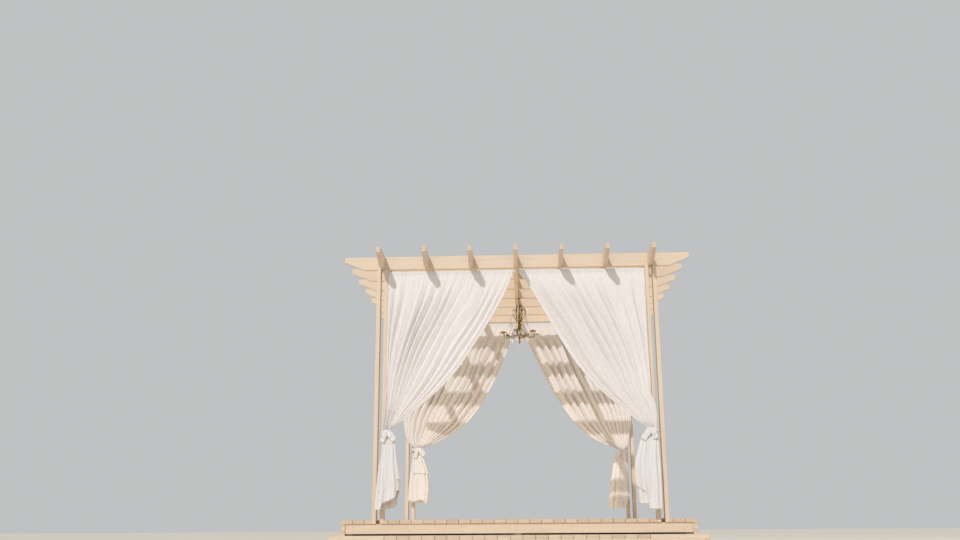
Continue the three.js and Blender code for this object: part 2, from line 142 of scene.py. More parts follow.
def painted_timber(name, axis, tone, bare, planks=None, worn=0.25):
    """Planed spruce under brushed satin acrylic paint: soft brush lines and a little raised grain along
    the board, thirsty end grain, and arrises where the paint has rubbed thin.
    axis is the way the grain runs; planks that each have their own tone are given as the axis across them,
    the first one's edge and their pitch; worn is how much paint the arrises have lost."""
    m, place = new_material(name)
    if planks:
        plank_axis, first, pitch = planks
        over = add(m, "SeparateXYZ", links={0: place}).outputs[AXES[plank_axis]]
        count = add(m, "Math", {"operation": "SUBTRACT", 1: first - PLANK_GAP / 2}, {0: over})
        count = add(m, "Math", {"operation": "DIVIDE", 1: pitch}, {0: count})
        index = add(m, "Math", {"operation": "FLOOR"}, {0: count})
        own = add(m, "TexWhiteNoise", {"noise_dimensions": "1D"}, {"W": index})
        shift = add(m, "VectorMath", {"operation": "SCALE", "Scale": OWN_GRAIN}, {0: own.outputs["Color"]})
        place = add(m, "VectorMath", {"operation": "ADD"}, {0: place, 1: shift})
    stretch = [1.0, 1.0, 1.0]
    stretch[AXES[axis]] = 1 / GRAIN_STRETCH
    along = add(m, "Mapping", {"Scale": stretch}, {"Vector": place})
    ridges = add(m, "TexNoise", {"Scale": RIDGES, "Detail": 3, "Distortion": 0.6}, {"Vector": along})
    bristles = add(m, "TexNoise", {"Scale": BRISTLES, "Detail": 2}, {"Vector": along})
    clouds = add(m, "TexNoise", {"Scale": CLOUDS, "Detail": 3}, {"Vector": place})
    specks = add(m, "TexNoise", {"Scale": SPECKS, "Detail": 4}, {"Vector": place})

    dark = [0.90 * c for c in rgb(tone)[:3]] + [1.0]
    coat = add(m, "Mix", {"data_type": "RGBA", 6: rgb(tone), 7: dark}, {0: clouds})
    faint = add(m, "MapRange", {1: 0.35, 2: 0.75, 3: 0.0, 4: 0.22}, {0: ridges})
    colour = add(m, "Mix", {"data_type": "RGBA", 7: rgb(bare)}, {0: faint, 6: coat.outputs[2]}).outputs[2]
    if planks:
        tint = add(m, "MapRange", {3: 0.88, 4: 1.05}, {0: own.outputs["Value"]})
        colour = add(m, "VectorMath", {"operation": "SCALE"}, {0: colour, "Scale": tint})

    # end grain drinks the paint and stays a shade browner, with open rings
    facing = add(m, "NewGeometry").outputs["Normal"]
    side = add(m, "SeparateXYZ", links={0: facing})
    end = add(m, "Math", {"operation": "ABSOLUTE"}, {0: side.outputs[AXES[axis]]})
    end = add(m, "MapRange", {1: 0.85, 2: 0.95, 3: 0.0, 4: 0.5}, {0: end})
    rings = add(
        m, "TexWave", {"wave_type": "RINGS", "Scale": END_RINGS, "Distortion": 3.0, "Detail": 2},
        {"Vector": place})
    open_end = add(m, "Math", {"operation": "MULTIPLY"}, {0: end, 1: rings.outputs["Fac"]})
    colour = add(m, "Mix", {"data_type": "RGBA", 7: rgb(bare)}, {0: open_end, 6: colour}).outputs[2]

    # the arrises are rounded, and their paint is rubbed in patches
    arris = add(m, "Bevel", {"samples": 4, "Radius": ARRIS})
    turn = add(m, "VectorMath", {"operation": "DOT_PRODUCT"}, {0: arris, 1: facing})
    edge = add(m, "MapRange", {1: 0.99, 2: 0.80, 3: 0.0, 4: 1.0}, {0: turn.outputs["Value"]})
    patchy = add(m, "MapRange", {1: 0.45, 2: 0.65, 3: 0.0, 4: worn}, {0: specks})
    rubbed = add(m, "Math", {"operation": "MULTIPLY"}, {0: edge, 1: patchy})
    colour = add(m, "Mix", {"data_type": "RGBA", 7: rgb(bare)}, {0: rubbed, 6: colour}).outputs[2]

    height = add(m, "Math", {"operation": "MULTIPLY_ADD", 1: 0.35}, {0: bristles, 2: ridges})
    bump = add(m, "Bump", {"Strength": 0.35, "Distance": 0.0015}, {"Height": height, "Normal": arris})
    gloss = add(m, "MapRange", {3: 0.48, 4: 0.68}, {0: specks})
    return finish_with(m, add(
        m, "BsdfPrincipled", {"IOR": 1.47}, {"Base Color": colour, "Roughness": gloss, "Normal": bump}))


CREAM, BARE_SPRUCE = "#e4d1bb", "#b8986c"
TREAD, WORN_TREAD = "#e8d3bb", "#ad8f69"
SIDE_PITCH = (SIDE_HIGH[1] - SIDE_LOW[1] + PLANK_GAP) / SIDE_PLANKS
timber_across = painted_timber("painted_spruce_across", "x", CREAM, BARE_SPRUCE)
timber_along = painted_timber("painted_spruce_along", "y", CREAM, BARE_SPRUCE)
timber_upright = painted_timber("painted_spruce_upright", "z", CREAM, BARE_SPRUCE)
deck_paint, step_paint, side_paint = (
    painted_timber(name, axis, TREAD, WORN_TREAD, planks, worn=0.6) for name, axis, planks in (
        ("painted_deck_planks", "y", ("x", DECK_LOW[0], PLANK_PITCH)),
        ("painted_step_planks", "y", ("x", STEP_LOW[0], PLANK_PITCH)),
        ("painted_side_planks", "x", ("y", SIDE_LOW[1], SIDE_PITCH))))

THREADS = 1 / 0.02         # a wave's scale: threads 0.3 mm apart, drawn every 6 mm so that they show at all
SLUBS = 1 / 0.012          # thick places in the threads, 12 mm apart across and eight times that along
CREASES = 1 / 0.09         # packing creases, a hand's breadth apart
SLUB_STRETCH = 0.12


def cotton_voile():
    """Plain-woven white cotton voile: matt, a little crumpled, with slubs in its threads, and thin enough
    that the light behind it comes through warm."""
    m, place = new_material("cotton_voile")
    warp, weft = (add(
        m, "TexWave", {"bands_direction": way, "Scale": THREADS, "Distortion": 1.5, "Detail": 1},
        {"Vector": place}).outputs["Fac"] for way in "XZ")
    weave = add(m, "Math", {"operation": "MULTIPLY"}, {0: warp, 1: weft})
    long_way = add(m, "Mapping", {"Scale": (1, 1, SLUB_STRETCH)}, {"Vector": place})
    slubs = add(m, "TexNoise", {"Scale": SLUBS, "Detail": 2}, {"Vector": long_way})
    crumple = add(
        m, "TexNoise", {"Scale": CREASES, "Detail": 5, "Roughness": 0.6, "Distortion": 0.5},
        {"Vector": place})
    shade = add(m, "MapRange", {1: 0.3, 2: 0.7, 3: 0.0, 4: 1.0}, {0: slubs})
    colour = add(m, "Mix", {"data_type": "RGBA", 6: rgb("#f7f6f9"), 7: rgb("#f1eff0")}, {0: shade})
    height = add(m, "Math", {"operation": "MULTIPLY_ADD", 1: 0.04}, {0: weave, 2: crumple})
    bump = add(m, "Bump", {"Strength": 0.3, "Distance": 0.012}, {"Height": height})
    cloth = add(
        m, "BsdfPrincipled", {"Roughness": 0.9, "IOR": 1.45, "Sheen Weight": 0.2, "Sheen Roughness": 0.5},
        {"Base Color": colour.outputs[2], "Normal": bump})
    through = add(m, "BsdfTranslucent", {"Color": rgb("#f5e8d2")}, {"Normal": bump})
    return finish_with(m, add(m, "MixShader", {0: 0.28}, {1: cloth, 2: through}))


def rod_enamel():
    """Steel tube under stoved ivory enamel: smooth, half gloss, with a few dull rubs from the cloth."""
    m, place = new_material("ivory_enamelled_tube")
    rubs = add(m, "TexNoise", {"Scale": 1 / 0.03, "Detail": 4}, {"Vector": place})
    colour = add(m, "Mix", {"data_type": "RGBA", 6: rgb("#e2dacd"), 7: rgb("#cfc4b3")}, {0: rubs})
    gloss = add(m, "MapRange", {3: 0.25, 4: 0.5}, {0: rubs})
    return finish_with(m, add(
        m, "BsdfPrincipled", {"IOR": 1.5}, {"Base Color": colour.outputs[2], "Roughness": gloss}))


def aged_brass():
    """Cast brass left to brown in the open air: golden on what hands and wind rub, dark in the hollows."""
    m, place = new_material("aged_cast_brass")
    patina = add(m, "TexNoise", {"Scale": 1 / 0.012, "Detail": 5, "Roughness": 0.65}, {"Vector": place})
    # the skin that the casting sand leaves, with grains of 0.5 mm drawn four times coarser
    cast_skin = add(m, "TexNoise", {"Scale": 1 / 0.002, "Detail": 2}, {"Vector": place})
    share = add(m, "MapRange", {1: 0.38, 2: 0.62}, {0: patina})
    colour = add(m, "Mix", {"data_type": "RGBA", 6: rgb("#ba9445"), 7: rgb("#4c3a17")}, {0: share})
    gloss = add(m, "MapRange", {3: 0.28, 4: 0.55}, {0: share})
    bump = add(m, "Bump", {"Strength": 0.2, "Distance": 0.0006}, {"Height": cast_skin})
    return finish_with(m, add(
        m, "BsdfPrincipled", {"Metallic": 1.0},
        {"Base Color": colour.outputs[2], "Roughness": gloss, "Normal": bump}))


def cut_crystal():
    """Lead crystal, cut and polished: its high index makes the facets flash. It lets a fifth of the light
    through as glass and scatters the rest as plain white, a painted glint that stands in for the flashes of a
    mass of small facets seen from afar."""
    m, place = new_material("cut_lead_crystal")
    dust = add(m, "TexNoise", {"Scale": 1 / 0.01, "Detail": 3}, {"Vector": place})
    gloss = add(m, "MapRange", {3: 0.01, 4: 0.10}, {0: dust})
    # the near-white base colour that scatters four fifths of the light is painted glint, in place of the
    # facets' flashes
    return finish_with(m, add(
        m, "BsdfPrincipled",
        {"Base Color": rgb("#fdfaf2"), "IOR": 1.56, "Transmission Weight": 0.2}, {"Roughness": gloss}))


def zinc_screw():
    """Zinc-plated steel screw head, dulled by weather."""
    m, place = new_material("zinc_plated_screw")
    bloom = add(m, "TexNoise", {"Scale": 1 / 0.004, "Detail": 3}, {"Vector": place})
    colour = add(m, "Mix", {"data_type": "RGBA", 6: rgb("#8f8b80"), 7: rgb("#5f5648")}, {0: bloom})
    gloss = add(m, "MapRange", {3: 0.35, 4: 0.65}, {0: bloom})
    return finish_with(m, add(
        m, "BsdfPrincipled", {"Metallic": 1.0}, {"Base Color": colour.outputs[2], "Roughness": gloss}))


voile = cotton_voile()
ivory_tube = rod_enamel()
brass = aged_brass()
crystal = cut_crystal()
screw_zinc = zinc_screw()


def paint_nodes():
    """The CAD nodes that keep their shape get the finish of their grain's direction."""
    finishes = {
        "deck_planks": deck_paint, "step_planks": step_paint, "step_side_planks": side_paint,
        "bearer": timber_along, "base_skirt": timber_along, "base_skirt_back": timber_across,
        "step_skirt_front": timber_across, "deck_skirt": timber_along, "deck_skirt_front": timber_across,
        "deck_skirt_back": timber_across, "post": timber_upright, "cross_board": timber_across,
        "rafter": timber_along, "curtain_rod": ivory_tube,
    }
    for name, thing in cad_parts.items():
        matches = [start for start in finishes if name.startswith(start)]
        if matches:
            for slot in thing.material_slots:
                slot.material = finishes[max(matches, key=len)]


paint_nodes()


# Meshes

class Shape:
    """The vertices and faces of one piece while it is being made."""

    def __init__(self):
        self.points = []
        self.faces = []

    def grid(self, rows, close=False, caps=False):
        """Rows of points, each as long as the next. close joins every row's end to its start, and caps
        closes the first and the last row."""
        start = len(self.points)
        wide = len(rows[0])
        last = start + (len(rows) - 1) * wide
        self.points.extend(tuple(point) for row in rows for point in row)
        for low in range(start, last, wide):
            for c in range(wide if close else wide - 1):
                after = (c + 1) % wide
                self.faces.append((low + c, low + after, low + wide + after, low + wide + c))
        if caps:
            self.faces.append(tuple(start + c for c in range(wide))[::-1])
            self.faces.append(tuple(last + c for c in range(wide)))

    def mesh(self, name, material):
        mesh = bpy.data.meshes.new(name)
        mesh.from_pydata(self.points, [], self.faces)
        mesh.validate()
        mesh.materials.append(material)
        return mesh

    def piece(self, name, material, slot, smooth=True):
        mesh = self.mesh(name, material)
        mesh.shade_smooth() if smooth else mesh.shade_flat()
        thing = put_in_scene(name, mesh)
        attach(thing, "root")
        return thing


def thicken(piece, thickness):
    cloth = piece.modifiers.new("cloth thickness", "SOLIDIFY")
    cloth.thickness = thickness
    cloth.offset = 0
    return cloth


def even_turns(count, start=0.0):
    """The angles of count places, evenly round a circle."""
    return [start + 2 * math.pi * k / count for k in range(count)]


def smoothstep(value):
    value = np.clip(value, 0, 1)
    return value * value * (3 - 2 * value)


def curve_through(where, stations, values):
    """A smooth curve through rising stations that never overshoots them."""
    gaps = np.diff(stations)
    slopes = np.diff(values) / gaps
    tangents = np.zeros(len(stations))
    for k in range(1, len(stations) - 1):
        if slopes[k - 1] * slopes[k] > 0:
            tangents[k] = 2 * slopes[k - 1] * slopes[k] / (slopes[k - 1] + slopes[k])
    tangents[0], tangents[-1] = slopes[0], slopes[-1]
    where = np.clip(where, stations[0], stations[-1])
    k = np.clip(np.searchsorted(stations, where, side="right") - 1, 0, len(gaps) - 1)
    t = (where - stations[k]) / gaps[k]
    return (
        (2 * t ** 3 - 3 * t ** 2 + 1) * values[k] + (t ** 3 - 2 * t ** 2 + t) * gaps[k] * tangents[k]
        + (3 * t ** 2 - 2 * t ** 3) * values[k + 1] + (t ** 3 - t ** 2) * gaps[k] * tangents[k + 1]
    )


# Curtains

RING_POINTS = 16           # a ring of the cloth solid has at least so many corners at one height
UNDER_ROD = 0.005          # and the rings that count lie this far under the rod
POCKET_SLACK = 0.0026      # the sewn pocket is this much wider than the rod
SEAM = 0.0030              # and its back starts this far behind and above the stitches under the rod
PLEAT_FRONT = 0.0098       # those stitches lie this far before the cloth's middle
GATHERS = 2.6              # and gather this many tucks for each fold
HEADING = 0.38             # down to here below the rod the tucks open into folds
LEANING = 1.2              # and down to here the folds lean over to the outer edge
GATHERED = 0.007           # a fold that is drawn together keeps at least this depth
ROW_FOLDS = {"front": (1.9, 0.38), "back": (1.45, 0.46)}   # how folds crowd outwards, and how deep they go
HEM_THICK = 0.0024
CLOTH_TO_HEM = 0.4         # the thickness of the single cloth as a share of its hem's
HEM_POINTS = 3             # the hem is so many mesh points wide
COLUMNS, ROWS_ABOVE, ROWS_BELOW = 262, 106, 48             # mesh points across, down to the tie and below it


def cloth_rings(node, rod_foot):
    """Height, inner edge, outer edge, middle and half depth of a curtain's solid, ring by ring, upwards to
    the stitches under its rod."""
    levels = {}
    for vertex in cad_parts[node].data.vertices:
        levels.setdefault(round(vertex.co.z, 4), []).append((abs(vertex.co.x), vertex.co.y))
    rings = []
    for height in sorted(levels):
        corners = np.array(levels[height])
        if len(corners) >= RING_POINTS and height < rod_foot - UNDER_ROD:
            (inner, front), (outer, back) = corners.min(axis=0), corners.max(axis=0)
            rings.append((height, inner, outer, (front + back) / 2, (back - front) / 2))
    return np.array(rings).T


def pleat_phase(across, pleats, seed):
    """Turns of the folds across the cloth, each fold of its own width, and each fold's strength."""
    draw = random.Random(seed)
    widths = np.array([draw.uniform(0.55, 1.5) for _ in range(pleats)])
    edges = np.concatenate([[0], np.cumsum(widths)]) / widths.sum()
    strength_of = [draw.uniform(0.35, 1.0) for _ in range(pleats + 1)]
    return np.interp(across, edges, np.arange(pleats + 1)), strength_of


def folded(turns, strength_of, phase=0.0):
    """Soft leaning folds, from -1 in a valley to 1 on a fold's back."""
    strength = np.interp(turns, np.arange(len(strength_of)) + 0.5, strength_of)
    lean = 0.35 * np.sin(2 * np.pi * turns + phase)
    return strength * np.sin(2 * np.pi * turns + lean)


def soft_noise(a, b, seed):
    """Smooth unhurried waves from -1 to 1."""
    draw = random.Random(seed)
    total = np.zeros(np.broadcast(a, b).shape)
    for _ in range(5):
        total = total + np.sin(draw.uniform(2, 7) * a + draw.uniform(1.5, 6) * b + draw.uniform(0, 6.28))
    return total / 5


def squared(wave):
    """A sine or cosine with fuller shoulders, for a loop of cloth that is nearer a rounded square."""
    return np.sign(wave) * np.abs(wave) ** 0.8


def hang_curtain(row, side, seed, pleats, cloth_a_fold, hem):
    """One curtain: a pocket round the rod, folds that run down and across to the tie, and the tail below it.
    cloth_a_fold is the length of cloth that goes into one fold, so that folds deepen where they crowd; hem
    gives the cloth's lowest height above the deck from its outer to its inner edge."""
    node = f"curtain_{row}_{side}"
    sign = -1 if side == "left" else 1
    rod_low, rod_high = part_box(f"curtain_rod_{row}")
    rod_y, rod_z = (rod_low[1] + rod_high[1]) / 2, (rod_low[2] + rod_high[2]) / 2
    tie_low, tie_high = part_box(f"curtain_tie_{row}_{side}")
    waist_foot, waist_top = tie_low[2], tie_high[2]
    height, inner, outer, middle, deep = cloth_rings(node, rod_low[2])
    stitched = height[-1]
    crowding, steepest = ROW_FOLDS[row]
    across = np.linspace(0, 1, COLUMNS)[None, :]
    turns, strength_of = pleat_phase(across, pleats, seed)

    def along(z, values):
        return curve_through(z, height, values)

    def spread(z):
        """The open cloth above the tie."""
        lean = 0.85 * smoothstep((stitched - z) / LEANING) - 0.45 * smoothstep((waist_top + 0.12 - z) / 0.12)
        share = (1 - lean) * across + lean * across ** crowding
        drop = smoothstep((stitched - z) / HEADING)
        wide = along(z, outer) - along(z, inner)
        x = along(z, outer) - wide * share
        own_turns = turns + 0.16 * soft_noise(4 * across, 1.6 * z, seed + 1) * drop
        # how deep the folds are: what their spare cloth allows, less where the cloth nears the waist
        length = np.abs(np.gradient(x, axis=1)) / np.abs(np.gradient(own_turns, axis=1))
        depth = 0.24 * np.sqrt(np.clip(cloth_a_fold ** 2 - length ** 2, (0.25 * length) ** 2, None))
        drawn_in = 0.66 + 0.34 * smoothstep((z - waist_top - 0.3) / 0.6)
        depth = np.minimum(depth, np.maximum(steepest * drawn_in * length, GATHERED))
        # the folds, smaller ones where they crowd, and the cloth's own billows and creases
        waves = folded(own_turns, strength_of)
        crowd = 1 - smoothstep(across / 0.6)
        small = folded(2.3 * turns + 0.5 * soft_noise(6 * across, 1.1 * z, seed + 6), strength_of[::-1], 1.0)
        billow = soft_noise(3 * across, 1.2 * z, seed + 2)
        creases = soft_noise(15 * across, 8 * z, seed + 3)
        open_folds = depth * (waves + 0.16 * small * crowd) + 0.004 * billow + 0.0012 * creases
        tucks = np.sin(2 * np.pi * GATHERS * turns + 1.5 * soft_noise(9 * across, 0 * z, seed + 7))
        headed = PLEAT_FRONT + 0.0018 * waves + 0.0016 * tucks
        roll = open_folds * drop + headed * (1 - drop)
        # the two edges hang calmer, and nothing leaves the solid's depth
        calm = 1 - 0.75 * smoothstep((across - 0.93) / 0.07) - 0.5 * smoothstep((0.05 - across) / 0.05)
        room = 0.94 * along(z, deep)
        sway = 0.11 * length * np.sin(2 * np.pi * own_turns + 0.8) * np.sin(np.pi * across) * drop
        y = along(z, middle) - np.clip(roll * (calm + (1 - calm) * (1 - drop)), -room, room)
        return x + sway, y

    def tail(z):
        """The loose end below the tie: one layer in front, one behind and the inner edge in front again, with
        round-backed folds and pinched valleys between them."""
        turn = np.radians(385 - 565 * across)
        loose = smoothstep((waist_foot - z) / 0.25)
        slow = soft_noise(0 * across, 2 * z, seed + 4), soft_noise(0 * across, 3 * z, seed + 5)
        broad = np.abs(np.cos(4.5 * turn + 0.5 * slow[0] + seed / 2))
        narrow = np.abs(np.cos(7 * turn + 0.6 * slow[1] + seed))
        waves = 1.3 * broad + 0.7 * narrow - 1
        layer = 0.77 + 0.21 * across
        centre, half = (along(z, outer) + along(z, inner)) / 2, (along(z, outer) - along(z, inner)) / 2
        narrowed, pinched = 1 - 0.03 * (1 - waves), 1 - (0.08 + 0.20 * loose) * (1 - waves)
        x = centre + half * layer * narrowed * squared(np.cos(turn))
        y = along(z, middle) + along(z, deep) * layer * pinched * squared(np.sin(turn))
        return x, y

    hem_z = DECK_TOP + curve_through(across, *np.array(hem).T)
    upper = np.linspace(stitched, waist_foot, ROWS_ABOVE)[:, None]
    lower = np.linspace(0, 1, ROWS_BELOW)[1:, None]
    z = np.concatenate([upper + 0 * across, waist_foot + (hem_z - waist_foot) * lower])
    flat_x, flat_y = spread(z)
    tail_x, tail_y = tail(z)
    blend = smoothstep((waist_top + 0.03 - z) / (waist_top + 0.03 - (waist_foot - 0.06)))
    x = flat_x + (tail_x - flat_x) * blend
    y = flat_y + (tail_y - flat_y) * blend

    # the pocket: up behind the rod, over it and straight down its front, a little puckered
    radius = ROD_RADIUS + POCKET_SLACK + 0.0006 * np.sin(2 * np.pi * GATHERS * turns)
    up = np.linspace(0, 1, 6)[:-1, None]
    over = np.linspace(0, np.pi, 13)[:, None]
    down = np.linspace(0, 1, 6)[1:-1, None]
    seam = flat_y[0][None, :]
    pocket_y = np.concatenate([
        seam + SEAM + (rod_y + radius - seam - SEAM) * smoothstep(up),
        rod_y + radius * np.cos(over),
        rod_y - radius + (seam - rod_y + radius) * down])
    pocket_z = np.concatenate([
        stitched + SEAM + (rod_z - stitched - SEAM) * up + 0 * across,
        rod_z + radius * np.sin(over),
        rod_z + (stitched - rod_z) * down + 0 * across])
    x = np.concatenate([flat_x[0][None, :] + 0 * pocket_y, x])
    y = np.concatenate([pocket_y, y])
    z = np.concatenate([pocket_z, z])

    shape = Shape()
    shape.grid(np.stack([sign * x, y, z], axis=-1).tolist())
    piece = shape.piece(f"voile_{row}_{side}", voile, "curtain_cloth")
    hems = piece.vertex_groups.new(name="hems")
    rows = len(x)
    hems.add([
        r * COLUMNS + c for r in range(rows) for c in range(COLUMNS)
        if min(c, COLUMNS - 1 - c, rows - 1 - r) < HEM_POINTS
    ], 1.0, "REPLACE")
    cloth = thicken(piece, HEM_THICK)
    cloth.vertex_group = "hems"
    cloth.thickness_vertex_group = CLOTH_TO_HEM
    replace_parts(piece, node)


# Ties

BAND_POINTS, BAND_ROWS = 150, 15
KNOT_POINTS, KNOT_ROWS = 28, 15
KNOT_HALF = (0.028, 0.0100, 0.025)                         # across, front to back and upright
END_POINTS, END_WIDE_POINTS = 14, 9
BAND_THICK, END_THICK = 0.0016, 0.0014


def outline_round(corners):
    """The convex outline of points seen from above, anticlockwise."""
    points = sorted(set(corners))

    def chain(points):
        kept = []
        for p in points:
            while len(kept) > 1 and (
                    (kept[-1][0] - kept[-2][0]) * (p[1] - kept[-2][1])
                    - (kept[-1][1] - kept[-2][1]) * (p[0] - kept[-2][0])) <= 0:
                kept.pop()
            kept.append(p)
        return kept[:-1]

    return chain(points) + chain(points[::-1])


def even_loop(corners, count):
    """count points, evenly spaced round a closed outline, and the outline's length."""
    loop = np.array(corners + corners[:1])
    length = np.concatenate([[0], np.cumsum(np.linalg.norm(np.diff(loop, axis=0), axis=1))])
    at = np.linspace(0, length[-1], count, endpoint=False)
    return np.stack([np.interp(at, length, loop[:, axis]) for axis in (0, 1)], axis=1), length[-1]


def ribbon(name, path, across, width):
    """A limp strip of cloth along a path, narrow where it leaves the knot, across being the direction of its
    width."""
    rows = []
    for k, point in enumerate(path):
        share = k / (len(path) - 1)
        half = width / 2 * (0.55 + 0.45 * float(smoothstep(share * 3)))
        row = []
        for c in range(END_WIDE_POINTS):
            s = 2 * c / (END_WIDE_POINTS - 1) - 1
            ripple = 0.0035 * math.sin(2.2 * math.pi * s + 3 * share)
            row.append(Vector(point) + half * s * across + ripple * Vector((0, -1, 0)))
        rows.append(row)
    shape = Shape()
    shape.grid(rows)
    piece = shape.piece(name, voile, "curtain_cloth")
    thicken(piece, END_THICK)
    return piece


def wind_tie(row, side, seed):
    """A strip of the curtains' cloth wound round the waist and the post board and knotted in front."""
    node = f"curtain_tie_{row}_{side}"
    draw = random.Random(seed)
    sign = -1 if side == "left" else 1
    low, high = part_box(node)
    corners = [(round(v.co.x, 5), round(v.co.y, 5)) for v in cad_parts[node].data.vertices]
    loop, girth = even_loop(outline_round(corners), BAND_POINTS)
    inward = loop.mean(axis=0) - loop
    inward /= np.linalg.norm(inward, axis=1)[:, None]
    # the band wrinkles softly, a few millimetres inside the solid's face
    rows = []
    for r in range(BAND_ROWS):
        share = r / (BAND_ROWS - 1)
        ring = []
        for point, push, turn in zip(loop, inward, even_turns(BAND_POINTS)):
            slack = 0.0030 + 0.0019 * math.sin(
                2.2 * 2 * math.pi * share + 2.4 * math.sin(turn + seed) + 3 * turn)
            height = low[2] + 0.004 + (high[2] - low[2] - 0.008) * share
            height += 0.003 * math.sin(2 * turn + 3 * share + seed)
            ring.append((*(point + push * slack), height))
        rows.append(ring)
    shape = Shape()
    shape.grid(rows, close=True)
    band = shape.piece(f"cloth_tie_{row}_{side}", voile, "curtain_cloth")
    thicken(band, BAND_THICK)

    # the knot is a creased lump a little nearer the canopy's middle than the band's own middle
    knot_x, front, knot_z = sign * (abs(low[0] + high[0]) / 2 - 0.012), low[1], (low[2] + high[2]) / 2
    rings = []
    for r in range(KNOT_ROWS):
        tilt = math.pi * r / (KNOT_ROWS - 1)
        ring = []
        for turn in even_turns(KNOT_POINTS):
            crease = 1 + 0.10 * math.sin(5 * turn + 4 * tilt + seed) + 0.06 * math.sin(9 * tilt)
            ring.append((
                knot_x + KNOT_HALF[0] * math.sin(tilt) * math.cos(turn) * crease,
                front - 0.005 + KNOT_HALF[1] * math.sin(tilt) * math.sin(turn) * crease,
                knot_z + KNOT_HALF[2] * math.cos(tilt) * crease))
        rings.append(ring)
    knot = Shape()
    knot.grid(rings, close=True)
    lump = knot.piece(f"tie_knot_{row}_{side}", voile, "curtain_cloth")

    # one end falls across towards the middle of the canopy, the other down along the post
    for which, reach, fall, wide in (("inner", -0.082, 0.088, 0.060), ("outer", 0.038, 0.104, 0.050)):
        reach *= sign * draw.uniform(0.85, 1.1)
        fall *= draw.uniform(0.85, 1.1)
        path = []
        for k in range(END_POINTS):
            share = k / (END_POINTS - 1)
            path.append((
                knot_x + reach * share ** 0.8,
                front - 0.007 - 0.009 * math.sin(math.pi * min(1, share * 1.4)) - 0.008 * share,
                knot_z + 0.006 - fall * share + 0.004 * math.sin(4 * share)))
        across = Vector((fall, -0.010, reach)).normalized()
        ribbon(f"tie_end_{which}_{row}_{side}", path, across, wide)
    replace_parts(band, node)


# Each curtain's own seed, number of folds, length of cloth in one fold, and hem. The hem says how low the
# cloth hangs at each share of its width, from the outer edge to the inner: up to 0.36 for the layer behind
# the front one, then for the back one, and from 0.68 on for the front one.
CURTAINS = (
    ("front", "left", 11, 13, 0.130, (
        (0, 0.30), (0.17, 0.26), (0.23, 0.24), (0.245, 0.215), (0.255, 0.277), (0.40, 0.27), (0.43, 0.14),
        (0.50, 0.11), (0.60, 0.095), (0.68, 0.095), (0.74, 0.09), (0.795, 0.092), (0.801, 0.10),
        (0.810, 0.150), (0.816, 0.157), (0.90, 0.214), (0.906, 0.222), (0.914, 0.375), (0.920, 0.385),
        (1, 0.393))),
    ("front", "right", 23, 11, 0.185, (
        (0, 0.20), (0.044, 0.16), (0.15, 0.12), (0.20, 0.132), (0.36, 0.138), (0.40, 0.16), (0.50, 0.20),
        (0.62, 0.16), (0.68, 0.105), (0.72, 0.092), (0.78, 0.082), (0.845, 0.085), (0.851, 0.10),
        (0.860, 0.232), (0.866, 0.245), (0.93, 0.29), (0.97, 0.315), (1, 0.335))),
    ("back", "left", 37, 13, 0.215, (
        (0, 0.26), (0.12, 0.235), (0.24, 0.262), (0.29, 0.225), (0.363, 0.25), (0.50, 0.24), (0.60, 0.265),
        (0.68, 0.245), (0.73, 0.26), (0.765, 0.25), (0.772, 0.27), (0.784, 0.575), (0.79, 0.594),
        (0.93, 0.594), (0.97, 0.575), (1, 0.53))),
    ("back", "right", 41, 13, 0.215, (
        (0, 0.26), (0.10, 0.24), (0.20, 0.19), (0.363, 0.18), (0.50, 0.22), (0.64, 0.26), (0.68, 0.262),
        (0.735, 0.25), (0.75, 0.235), (0.79, 0.165), (0.80, 0.152), (0.85, 0.160), (0.90, 0.148),
        (0.96, 0.163), (1, 0.155))),
)
for curtain in CURTAINS:
    hang_curtain(*curtain)
for row, side, seed, *_ in CURTAINS:
    wind_tie(row, side, seed)


# The chandelier

ARMS = 6
ARM_TURN = math.radians(20)
ARM_REACH = 0.205
HOOK_X = (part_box("chandelier_chain")[0][0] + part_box("chandelier_chain")[1][0]) / 2
CROWN = LATTICE_UNDER - 0.076
CAGE_FOOT = LATTICE_UNDER - 0.298
CUP = LATTICE_UNDER - 0.424
HUB = CUP - 0.016
FINIAL = LATTICE_UNDER - 0.545
LINKS, LINK_PITCH, LINK_HALF, LINK_WIRE = 4, 0.0140, (0.0058, 0.0095), 0.0019
LEAF_THICK = 0.0012
FACETS = 8                 # round a cut bead or drop
GARLAND_BEADS, SWAG_BEADS = (0.0112, 0.0054), (0.0095, 0.0042)            # spacing and radius
CAGE_DROP, PAN_DROP, ARM_DROP, SWAG_DROP = (0.036, 0.018), (0.044, 0.021), (0.050, 0.023), (0.040, 0.019)
CAGE_DROP_REACH, ARM_DROP_REACH, SWAG_DROP_REACH = 0.103, 0.110, 0.032
PAN_RIM = 0.0365


def round_hook(reach, turn, height):
    """The place at a reach and a turn round the line under the hook."""
    return (HOOK_X + reach * math.cos(turn), MIDDLE + reach * math.sin(turn), height)


def smooth_path(points, steps):
    """A Catmull-Rom curve through the points."""
    points = [np.array(p, float) for p in points]
    points = [2 * points[0] - points[1]] + points + [2 * points[-1] - points[-2]]
    path = []
    for k in range(1, len(points) - 2):
        a, b, c, d = points[k - 1:k + 3]
        for s in range(steps):
            t = s / steps
            path.append(0.5 * (
                2 * b + (c - a) * t + (2 * a - 5 * b + 4 * c - d) * t * t + (3 * b - a - 3 * c + d) * t ** 3))
    path.append(points[-2])
    return path


def bent(profile, turn, steps, start=()):
    """A smooth path through reaches and heights at one turn round the hook, from start if it is given."""
    return smooth_path([round_hook(reach, turn, height) for reach, height in (*start, *profile)], steps)


